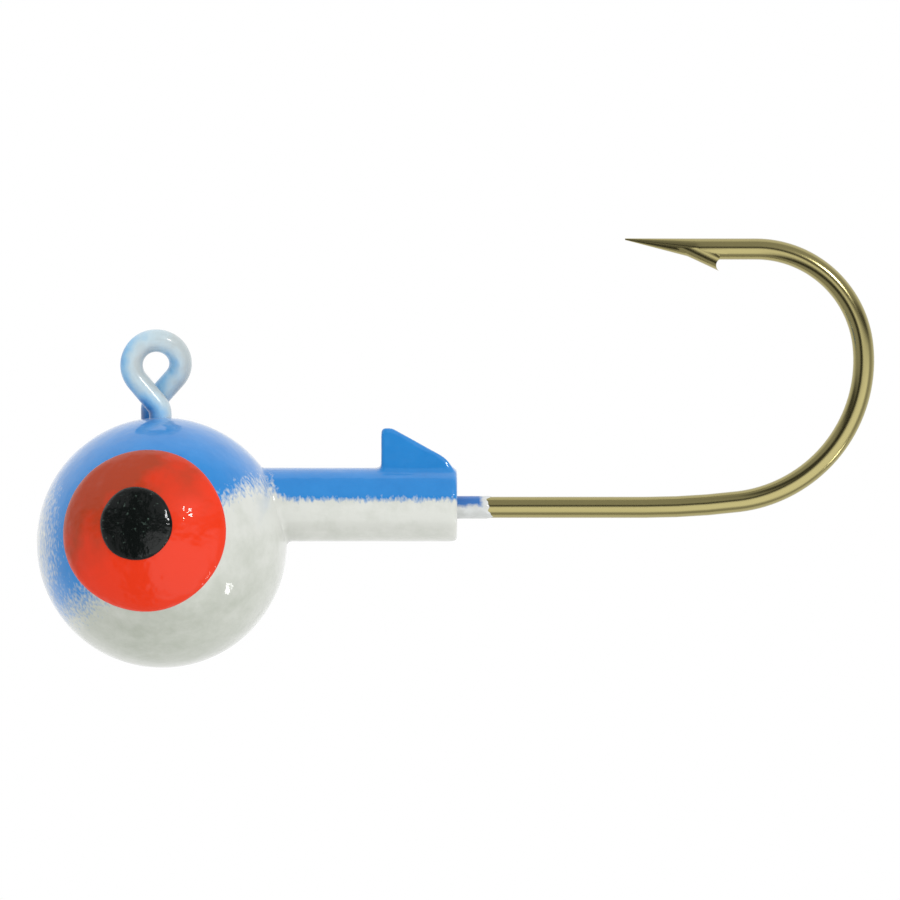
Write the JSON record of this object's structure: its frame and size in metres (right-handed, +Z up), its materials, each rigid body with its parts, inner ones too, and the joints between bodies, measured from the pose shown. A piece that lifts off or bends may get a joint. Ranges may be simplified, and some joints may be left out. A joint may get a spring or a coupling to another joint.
{
  "type": "jig head",
  "caption": "Ball-headed fishing jig: lead ball with collar and bait keeper cast on a right-angle hook, painted white with a blue back and red enamel eyes.",
  "frame": {"origin": "middle of the line eye, in the plane of the hook", "axes": "+X along the shank from the head to the bend, +Z up out of the ball to the line eye, Y across"},
  "size_m": [0.0435, 0.0134, 0.0223],
  "materials": {
    "hook_wire": "bronzed high-carbon steel wire",
    "cast_lead": "cast lead, hidden under the paint",
    "white_paint": "pearl white powder paint, glossy",
    "blue_paint": "blue sprayed over the white, glossy",
    "eye_film": "thin white paint under a light blue overspray",
    "iris_enamel": "raised red-orange enamel, glossy",
    "pupil_enamel": "raised black enamel, glossy"
  },
  "bodies": {
    "root": {"hook": "hook_wire", "lead_head": "cast_lead", "base_coat": "white_paint", "back_coat": "blue_paint", "line_eye_paint": "eye_film", "shank_paint": "white_paint", "iris_left": "iris_enamel", "iris_right": "iris_enamel", "pupil_left": "pupil_enamel", "pupil_right": "pupil_enamel"}
  },
  "joints": []
}
